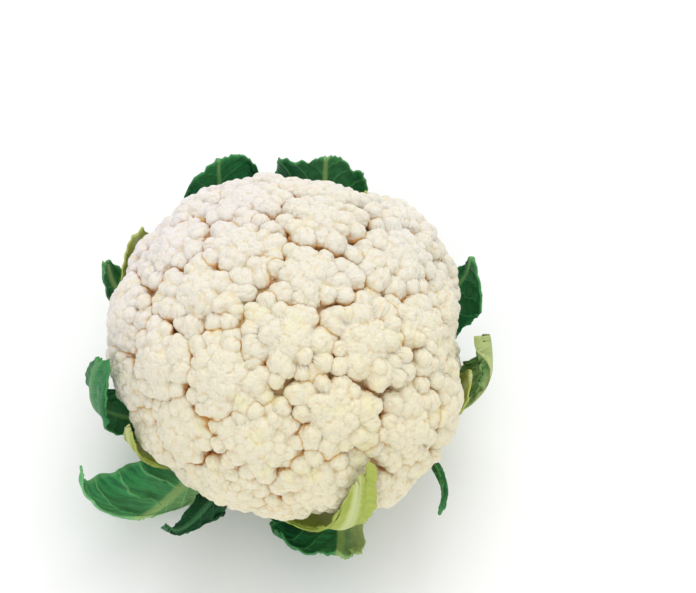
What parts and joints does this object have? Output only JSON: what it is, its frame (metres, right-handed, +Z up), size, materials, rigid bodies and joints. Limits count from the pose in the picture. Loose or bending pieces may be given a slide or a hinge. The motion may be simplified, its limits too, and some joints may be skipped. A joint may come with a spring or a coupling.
{
  "type": "cauliflower",
  "caption": "Trimmed cauliflower head: a domed cream curd of crowded florets on a cut stem, wrapped in cut-back inner and outer leaves.",
  "frame": {"origin": "centre of the cut face under the stem, which the head stands on", "axes": "+Z up through the middle of the head, -Y towards its front as pictured, +X to its right seen from the front"},
  "size_m": [0.1786, 0.192, 0.1293],
  "materials": {
    "curd": "matt, faintly translucent",
    "stem": "matt, moist where it is cut",
    "leaf_inner": "satin, waxy",
    "leaf_middle": "satin, waxy",
    "leaf_outer": "satin, waxy"
  },
  "bodies": {
    "root": {"curd": "curd", "stem": "stem", "leaf_inner_front": "leaf_inner", "leaf_inner_left": "leaf_inner", "leaf_inner_right": "leaf_inner", "leaf_inner_back": "leaf_inner", "leaf_inner_back_left": "leaf_inner", "leaf_middle_left": "leaf_middle", "leaf_middle_front": "leaf_middle", "leaf_middle_strip": "leaf_middle", "leaf_middle_right": "leaf_middle", "leaf_middle_back": "leaf_middle", "leaf_outer_front": "leaf_outer", "leaf_outer_front_left": "leaf_outer", "leaf_outer_right": "leaf_outer", "leaf_outer_back": "leaf_outer", "leaf_outer_left": "leaf_outer"}
  },
  "joints": []
}
